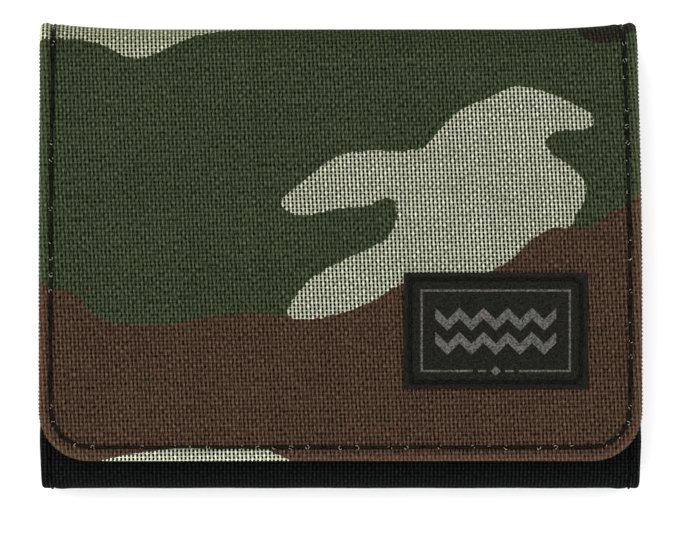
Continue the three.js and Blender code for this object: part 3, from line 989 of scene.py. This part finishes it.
# ---- black cover
def black_cover():
    """The black cloth from under the back panel, round the bottom spine and up the inner panel."""
    sewn_on = [inner_tip(), *zip_tapes(), *zip_end_tabs()]
    end = UNDER_BOTTOM.reach(JOIN_Y - 0.3)
    seams = side_seams(SIDE - 1.8, 0, end - 0.6)
    half_black_cover("lower", UNDER_BOTTOM, end, "back", seams, ["bottom_spine_cover"], [], [])
    end = OVER_BOTTOM.reach(spans("inner_cover_lower")[1][1])
    seams = [*side_seams(SIDE - 1.8, 0, end - 0.6), cross_seam(1, end - 1.4)]
    sewn = ["inner_stitching_left", "inner_stitching_right", "zip_stitching_lower"]
    half_black_cover("panel", OVER_BOTTOM, end, "inner_panel", seams, ["inner_cover_lower"], sewn, sewn_on)


def half_black_cover(name, wrap, end, panel, seams, nodes, seam_nodes, sewn_on):
    """The black cloth on one side of the middle of the bottom spine."""
    drop, seam_lift = (BACK_DROP, -0.34) if wrap.up < 0 else (0.0, -0.1)
    folded(
        f"black_cover_{name}", wrap, end, COVER, BLACK_CLOTH, panel, "black_cloth", nodes,
        sewn_on=sewn_on, lift=rising(wrap.run - 4, wrap.run + 4, 0.0, drop), rim=0.4,
        spacing=(0.8, 0.8), seam=True, relief=hemmed(seams, 0.2, 0.06), knobs=0.12, seams=seams,
    )
    seam = stitches(f"black_seams_{name}", wrap, seams, seam_lift, THREADS, 0.17)
    bend_as(seam, wrap, panel, "thread", *seam_nodes)


def inner_tip():
    """The strip of black cloth between the zip and the inner panel's free edge."""
    _, (low_y, high_y), _ = spans("inner_cover_upper")
    plane = Plane(INNER_TOP)
    seams = [cross_seam(1, low_y + 1.4), cross_seam(1.8, high_y - 1.6)]
    strip = dress(
        "inner_cover_upper", "black_cover_tip", plane, COVER, BLACK_CLOTH, "inner_panel", "black_cloth",
        rim=0.4, spacing=(0.8, 0.8), relief=pulled_in(seams, 0.18, 0.15),
    )
    sew("black_seams_tip", plane, seams, -0.06, "inner_panel", "zip_stitching_upper", radius=0.17)
    return strip


# ---- linings
def linings():
    """The linings inside the flap and round the two spines, just inside the covers."""
    inset = 1.0
    side = SIDE - inset
    end = OVER_TOP.reach(FLAP_EDGE_Y + inset)
    corner = FLAP_CORNER - inset
    holes = needle_holes(round_three_sides((-side, side), (0, end), SEAM_INSET - inset, corner))
    pulled = pulled_in([holes], 0.16, 0.12)
    under_print = lambda s: -cover_depth(s) - 0.05
    under_black = -COVER - 0.1
    folded(
        "flap_lining_cloth", OVER_TOP, end, LINING, LINING_CLOTH, "flap", "lining", ["flap_lining"],
        side, lift=under_print, rim=0.18, corner=corner, spacing=(2.0, 1.2), seam=True,
        under=lambda x, s, edge: -pulled(x, s, edge),
    )

    onto_back = 44 - BEND_Y  # how far a spine's lining runs on along the back panel
    up_panel = OVER_BOTTOM.reach(-4.0) - OVER_BOTTOM.run
    others = (
        ("top_spine", UNDER_TOP, onto_back, "back", under_print, ["top_spine_lining"]),
        ("bottom_spine", UNDER_BOTTOM, onto_back, "back", under_black, ["bottom_spine_lining"]),
        ("inner_panel", OVER_BOTTOM, up_panel, "inner_panel", under_black, []),
    )
    for name, wrap, beyond, body, lift, nodes in others:
        folded(
            f"{name}_lining_cloth", wrap, wrap.run + beyond, 0.3, LINING_CLOTH, body, "lining", nodes,
            side, lift=lift, rim=0.13, spacing=(2.0, 1.2),
        )


# ---- flat inner sheets
def flat_sheet(node, body, material, slot, face_up=True, seams=(), binding=0, **look):
    """Dresses a flat CAD sheet: the same outline and heights, with soft edges and sewn seams."""
    x_ends, (_, high_y), (low_z, high_z) = spans(node)
    thickness = high_z - low_z
    plane = Plane(high_z) if face_up else Plane(low_z, -1)
    name = f"{node}_cloth"
    sewn_on = []
    if binding:
        s_ends = (high_y - binding, high_y + 0.25)
        tape = sheet(f"{name}_binding", plane, x_ends, s_ends, thickness + 0.2, BINDING, lift=0.1, rim=0.25)
        sewn_on.append(ride_as(tape, body, "lining"))
    if seams:
        look["relief"] = pulled_in(seams, 0.12, 0.1)
    piece = dress(node, name, plane, thickness, material, body, slot, sewn_on, **look)
    if seams:
        sew(f"{name}_seams", plane, seams, -0.05, body, radius=0.15, dive=0.2)
    return piece


def pockets():
    """The bill compartment, the card pockets and the flap's slip pocket."""
    flat_sheet("bill_divider", "back", LINING_CLOTH, "lining", binding=2.6)
    flat_sheet("card_backing", "back", LINING_CLOTH, "lining")
    nodes = [f"card_pocket_{name}" for name in ("rear", "middle", "front")]
    mouths = [spans(node)[1][1] for node in nodes]
    below = [*mouths[1:], spans(nodes[-1])[1][0] + 1]
    for node, mouth, lower in zip(nodes, mouths, below):
        seams = side_seams(SIDE - 3.2, lower + 0.5, mouth - 0.5)
        seams.append(cross_seam(2, mouth - 2.2, FINE_STITCH))
        flat_sheet(node, "back", LINING_CLOTH, "lining", seams=seams, spacing=(1.2, 1.2))

    x_ends, y_ends, z_ends = spans("flap_slip_pocket")
    lift = z_ends[0] - FLAP_TOP + 0.3
    dress(
        "flap_slip_pocket", "slip_pocket_cloth", OVER_TOP, 0.3, LINING_CLOTH, "flap", "lining",
        lift=lift, rim=0.13, spacing=(2.0, 2.0),
    )
    mouth, foot = OVER_TOP.stretch(y_ends)
    x0, x1 = x_ends[0] + 1.2, x_ends[1] - 1.2
    line = [(x0, mouth + 1), (x0, foot - 1.2), (x1, foot - 1.2), (x1, mouth + 1)]
    holes = needle_holes(line, FINE_STITCH)
    sew("slip_pocket_seam", OVER_TOP, [holes], lift - 0.36, "flap", radius=0.15)


def hook_and_loop():
    """The hook strip under the flap's edge and the loop strip that it grips."""
    x_ends, y_ends, (_, high_z) = spans("hook_strip")
    rough = lambda x, s, edge: -0.22 * np.sin(x * 4.1) ** 2 * np.sin(s * 4.1) ** 2
    dress(
        "hook_strip", "hook_strip_tape", OVER_TOP, 1.3, HOOKS, "flap", "hook_and_loop",
        lift=high_z - FLAP_TOP, rim=0.3, spacing=(0.4, 0.4), under=rough,
    )
    holes = needle_holes(seam_frame(x_ends, OVER_TOP.stretch(y_ends), 1.2), FINE_STITCH)
    sew("hook_strip_seam", OVER_TOP, [holes], -3.75, "flap", "hook_strip_stitching", radius=0.16)

    x_ends, y_ends, (low_z, high_z) = spans("loop_strip")
    plane = Plane(high_z)
    holes = needle_holes(seam_frame(x_ends, y_ends, 1.2), FINE_STITCH)
    sunk = pulled_in([holes], 0.3, 0.1)
    loft = lambda x, s, edge: sunk(x, s, edge) - 0.14 * np.sin(x * 2.7 + s) ** 2 * np.sin(s * 3.1) ** 2
    dress(
        "loop_strip", "loop_strip_tape", plane, high_z - low_z, LOOPS, "inner_panel", "hook_and_loop",
        rim=0.4, spacing=(0.6, 0.6), relief=loft,
    )
    sew("loop_strip_seam", plane, [holes], -0.15, "inner_panel", "loop_strip_stitching", radius=0.16)


# ---- label
def label():
    """The woven label, folded in at its edges and sewn round inside them."""
    x_ends, y_ends, _ = spans("label")
    middle_x = x_ends.mean()
    middle_s = OVER_TOP.reach(y_ends.mean())
    holes = needle_holes(seam_frame(x_ends, OVER_TOP.stretch(y_ends), 1.35), 2.3)
    sunk = pulled_in([holes], 0.13, 0.1)
    folded = lambda x, s, edge: sunk(x, s, edge) - 0.1 / (1 + np.exp(-(edge - 3.0) * 5))
    dress(
        "label", "woven_label_patch", OVER_TOP, 0.5, LABEL_CLOTH, "flap", "label", lift=0.52,
        rim=0.24, spacing=(0.5, 0.5), relief=folded, seams=[holes],
        fabric=lambda x, s: (x - middle_x, middle_s - s),
    )
    thread = {"radius": 0.19, "slant": 0.25, "dive": 0.2}
    sew("label_seam", OVER_TOP, [holes], 0.44, "flap", "label_stitching", **thread)


# ---- inner panel's other side
WINDOW_X = (-40, 40)
WINDOW_Y = (-37, 8)


def rectangle_points(x_ends, y_ends, radius, per_side=14):
    """Points round a rectangle with rounded corners, the same number for any size."""
    (x0, x1), (y0, y1) = x_ends, y_ends
    corners = [(x1, y0, -1, 1), (x1, y1, -1, -1), (x0, y1, 1, -1), (x0, y0, 1, 1)]
    arcs = []
    for turn, (x, y, toward_x, toward_y) in enumerate(corners):
        angle = np.radians(90 * (turn - 1) + np.linspace(0, 90, 6))
        centre = np.array([x + toward_x * radius, y + toward_y * radius])
        arcs.append(centre + radius * np.column_stack([np.cos(angle), np.sin(angle)]))
    share = np.linspace(0, 1, per_side)[1:-1, None]
    points = []
    for arc, following in zip(arcs, arcs[1:] + arcs[:1]):
        points += [arc, arc[-1] + share * (following[0] - arc[-1])]
    return np.concatenate(points)


def window_frame():
    """Cloth with a window cut out: rings from its outer edge to the turned edge of the window."""
    x_ends, y_ends, (low_z, high_z) = spans("id_window_frame")
    outer = rectangle_points(x_ends, y_ends, 0.6)
    inner = rectangle_points(WINDOW_X, WINDOW_Y, 3)
    turned_edge = [0.9, 0.94, 0.98, 0.994, 1]
    shares = np.concatenate([[0, 0.002, 0.006, 0.02], np.linspace(0.08, 0.86, 8), turned_edge])
    at_end = (shares == 0) | (shares == 1)
    near_end = (shares < 0.004) | (shares > 0.99)
    half = (high_z - low_z) / 2
    fall = half * np.where(at_end, 1.0, np.where(near_end, 0.3, 0))
    bulge = np.where((shares > 0.8) & ~at_end, 0.12, 0.0)
    flat = outer[:, None] + shares[:, None] * (inner - outer)[:, None]
    size = flat.shape[:2]
    faces = [
        np.dstack([flat, np.broadcast_to(height, size)]) for height in (low_z + fall - bulge, high_z - fall)
    ]
    return two_faced(
        "window_frame_cloth", *faces, np.broadcast_to(at_end, size), flat.reshape(-1, 2), LINING_CLOTH,
        closed=True,
    )


def window():
    """The identity-card window: a bound frame of lining cloth with clear film behind it."""
    x_ends, y_ends, (low_z, _) = spans("id_window_frame")
    cloth = ride_as(window_frame(), "inner_panel", "lining", "id_window_frame")
    width = 1.0
    around = [(low - width, high + width) for low, high in (WINDOW_X, WINDOW_Y)]
    line = rectangle_points(*around, 3 + width)
    holes = needle_holes(np.vstack([line, line[:1]]), FINE_STITCH)
    sew("window_seam", Plane(low_z, -1), [holes], 0.16, "inner_panel", radius=0.14, dive=0.12)
    dress(
        "id_window_film", "window_film_sheet", Plane(spans("id_window_film")[2][1]), 0.2, FILM,
        "inner_panel", "window_film", rim=0.09, spacing=(3, 3),
    )
    flat_sheet("coin_pocket_back", "inner_panel", LINING_CLOTH, "lining", face_up=False)


# ---- zip
COIL_PITCH = 1.6
COIL_Z = 11.66
WIRE = 0.25


def zip_tapes():
    """The zip's two tapes, each a flat sheet of its own on the inner panel."""
    nodes = ("zip_tape_lower", "zip_tape_upper")
    return [flat_sheet(node, "inner_panel", TAPE_CLOTH, "tape") for node in nodes]


def zip_end_tabs():
    """A tab of cover cloth at each end of the zip, which closes the gap out to the side seams."""
    low_cover = spans("inner_cover_lower")[1][1]
    high_cover = spans("inner_cover_upper")[1][0]
    tape_end = spans("zip_tape_lower")[0][1]
    plane = Plane(INNER_TOP - COVER - 0.1)
    tabs = []
    for name, side in (("left", -1), ("right", 1)):
        x_ends = sorted((side * (tape_end + 0.2), side * (SIDE - 0.3)))
        seam_x = side * (tape_end + 1.6)
        seam = needle_holes([(seam_x, low_cover + 0.8), (seam_x, high_cover - 0.8)])
        tab = sheet(
            f"zip_end_tab_{name}", plane, x_ends, (low_cover - 1, high_cover + 1), 0.5, BLACK_CLOTH,
            rim=0.2, spacing=(0.8, 0.8), relief=pulled_in([seam], 0.12, 0.1), seams=[seam],
        )
        tabs.append(ride_as(tab, "inner_panel", "black_cloth"))
        sew(f"zip_end_seam_{name}", plane, [seam], -0.05, "inner_panel", radius=0.15)
    return tabs


def zip_fastener():
    """The zip's two coils, its stops, its slider and its pull."""
    for name, side in (("lower", -1), ("upper", 1)):
        zip_coil(name, side)
        zip_stop(f"zip_top_stop_{name}", f"zip_stop_{name}", 0.5, 0.25)
    zip_stop("zip_bottom_stop", "zip_stop_bottom", 0.6, 0.3)
    slider()
    pull()


def zip_coil(name, side):
    """One side of the teeth: a wire wound round the tape's edge, to mesh with the other side's."""
    node = f"zip_teeth_{name}"
    margin = 0.6
    x0, x1 = spans(node)[0]
    turns = (x1 - x0 - 2 * margin) / COIL_PITCH
    turn = np.linspace(0, turns, int(turns * 14))
    angle = 2 * math.pi * (turn + (0.25 if side > 0 else 0.75))
    across = ZIP_Y + side * (0.72 + 1.0 * np.cos(angle))
    path = np.column_stack([x0 + margin + COIL_PITCH * turn, across, COIL_Z + 0.3 * np.sin(angle)])
    coil = tubes(f"zip_coil_{name}", Plane(0), [path], WIRE, COIL, sides=7)
    ride_as(coil, "inner_panel", "zip_coil", node)


def zip_stop(node, name, radius, bevel):
    """A small metal block that stops the slider."""
    x_ends, y_ends, (low_z, high_z) = spans(node)
    outline = rectangle_points(x_ends, y_ends, radius, 4)
    stop = plate(name, [outline], low_z, high_z + 0.1, bevel)
    ride_as(stop, "inner_panel", "zip_metal", node)


def plate(name, outlines, low, high, bevel):
    """A bevelled plate with holes, drawn in X and Y. Its outlines hold the bevelled edge."""
    curve = bpy.data.curves.new(name, "CURVE")
    curve.dimensions = "2D"
    curve.fill_mode = "BOTH"
    curve.extrude = ((high - low) / 2 - bevel) * MM
    curve.bevel_depth = bevel * MM
    curve.bevel_resolution = 3
    curve.offset = -bevel * MM
    for outline in outlines:
        spline = curve.splines.new("POLY")
        spline.points.add(len(outline) - 1)
        for point, (x, y) in zip(spline.points, outline):
            point.co = (x * MM, y * MM, 0, 1)
        spline.use_cyclic_u = True
    drawn = put_in_scene(name + "_drawn", curve)
    bpy.context.view_layer.update()
    mesh = bpy.data.meshes.new_from_object(drawn.evaluated_get(bpy.context.evaluated_depsgraph_get()))
    bpy.data.objects.remove(drawn)
    for vertex in mesh.vertices:
        vertex.co.z += (low + high) / 2 * MM
    mesh.materials.clear()
    mesh.materials.append(METAL)
    piece = put_in_scene(name, mesh)
    turn_outward(piece, weld_gap=1e-6)
    mesh.shade_smooth()
    mesh.set_sharp_from_angle(angle=math.radians(35))
    return piece


def join(name, pieces):
    """One object from several."""
    first = pieces[0]
    with bpy.context.temp_override(
        active_object=first, object=first, selected_objects=pieces, selected_editable_objects=pieces
    ):
        bpy.ops.object.join()
    first.name = name
    first.data.name = name
    return first


def nosed(x0, x1, half, nose):
    """A slider's outline: square at one end and drawn in to a narrower nose at the other."""
    body = [(x1, -nose), (x1, nose), (x1 - 2.4, half), (x0 + 0.8, half), (x0, half - 0.8)]
    mirrored = [(x, -y) for x, y in body[::-1][:-1]]
    return [(x, y + ZIP_Y) for x, y in (*body, *mirrored[:-1])]


def slider():
    """The slider's body: two flanges under a nosed plate, with a bail that holds the pull."""
    (x0, x1), (y0, y1), (_, high_z) = spans("zip_slider")
    half = (y1 - y0) / 2
    plate_low, plate_high = 12.5, 13.1
    top = plate("slider_top", [nosed(x0, x1, half, 1.7)], plate_low, plate_high, 0.22)
    flanges = []
    for side in (-1, 1):
        y_ends = sorted((ZIP_Y + side * 2.02, ZIP_Y + side * half))
        outline = rectangle_points((x0 + 1, x1 - 2.2), y_ends, 0.2, 6)
        flanges.append(plate("slider_flange", [outline], 11.2, plate_low + 0.1, 0.12))
    foot_z = plate_low + 0.2
    reach, rise = 2.75, high_z - WIRE - foot_z
    squareness = 0.45
    arch = []
    for angle in np.linspace(0, math.pi, 17).tolist():
        along = math.copysign(abs(math.cos(angle)) ** squareness, math.cos(angle))
        height = math.sin(angle) ** squareness
        arch.append(((x0 + x1) / 2 + reach * along, ZIP_Y, foot_z + rise * height))
    bail = tubes("slider_bail", Plane(0), [arch], WIRE, METAL, sides=10)
    strap_width = 3.6  # in wires
    for vertex in bail.data.vertices:
        vertex.co.y = ZIP_Y * MM + (vertex.co.y - ZIP_Y * MM) * strap_width
    body = join("zip_slider_casting", [top, *flanges, bail])
    ride_as(body, "zip_slider", "zip_metal", "zip_slider")


def pull():
    """The pull: a long plate with a slot over the bail, and grip ridges."""
    x_ends, (y0, y1), (low_z, high_z) = spans("zip_pull")
    middle_z = (low_z + high_z) / 2
    half = (y1 - y0) / 2
    across = (ZIP_Y - half, ZIP_Y + half)
    slot_x = (x_ends[1] - 4.5, x_ends[1] - 0.6)
    outline = rectangle_points(x_ends, across, 1.4)
    slot = rectangle_points(slot_x, (ZIP_Y - 1.3, ZIP_Y + 1.3), 0.5, 6)
    pieces = [plate("pull_plate", [outline, slot], low_z, high_z, 0.18)]
    for number in range(6):
        x = x_ends[0] + 3 + 1.5 * number
        ridge = rectangle_points((x, x + 0.7), (across[0] + 0.8, across[1] - 0.8), 0.3, 4)
        pieces.append(plate("pull_ridge", [ridge], middle_z - 0.42, middle_z + 0.42, 0.14))
    ride_as(join("zip_pull_casting", pieces), "zip_pull", "zip_metal", "zip_pull")


# ---- studio
def studio():
    """A camera above the flap, soft light from all round and a pale floor."""
    centre = (-0.5, -2.1)
    distance, view_width = 650.0, 134.7
    data = bpy.data.cameras.new("camera")
    data.sensor_width = 36
    data.lens = data.sensor_width * distance / view_width
    camera = put_in_scene("camera", data)
    camera.location = (centre[0] * MM, centre[1] * MM, (FLAP_TOP + distance) * MM)
    bpy.context.scene.camera = camera

    world = bpy.data.worlds.new("studio")
    world.use_nodes = True
    background = world.node_tree.nodes["Background"]
    background.inputs["Color"].default_value = (1, 1, 1, 1)
    background.inputs["Strength"].default_value = 1.35
    bpy.context.scene.world = world

    for name, place, size, energy in (
        ("key", (-0.35, 0.45, 0.8), 0.5, 4.0),
        ("fill", (0.5, -0.3, 0.7), 0.8, 1.6),
    ):
        light = bpy.data.lights.new(name, "AREA")
        light.size = size
        light.energy = energy
        lamp = put_in_scene(name, light)
        lamp.location = place
        lamp.rotation_euler = (-Vector(place)).to_track_quat("-Z", "Y").to_euler()

    floor_material = Shader("floor", 0.9, 0.1)
    floor_material.set("Base Color", (0.95, 0.95, 0.95, 1))
    reach, below = 3000.0, -0.05
    corners = np.array([(x * reach, y * reach, below) for x, y in ((-1, -1), (1, -1), (1, 1), (-1, 1))])
    floor = make_mesh("floor", corners, [[0, 1, 2, 3]], floor_material.material, closed=False)
    bpy.context.scene.view_settings.view_transform = "Standard"


flap_cover()
back_cover()
black_cover()
linings()
pockets()
hook_and_loop()
label()
window()
zip_fastener()
studio()
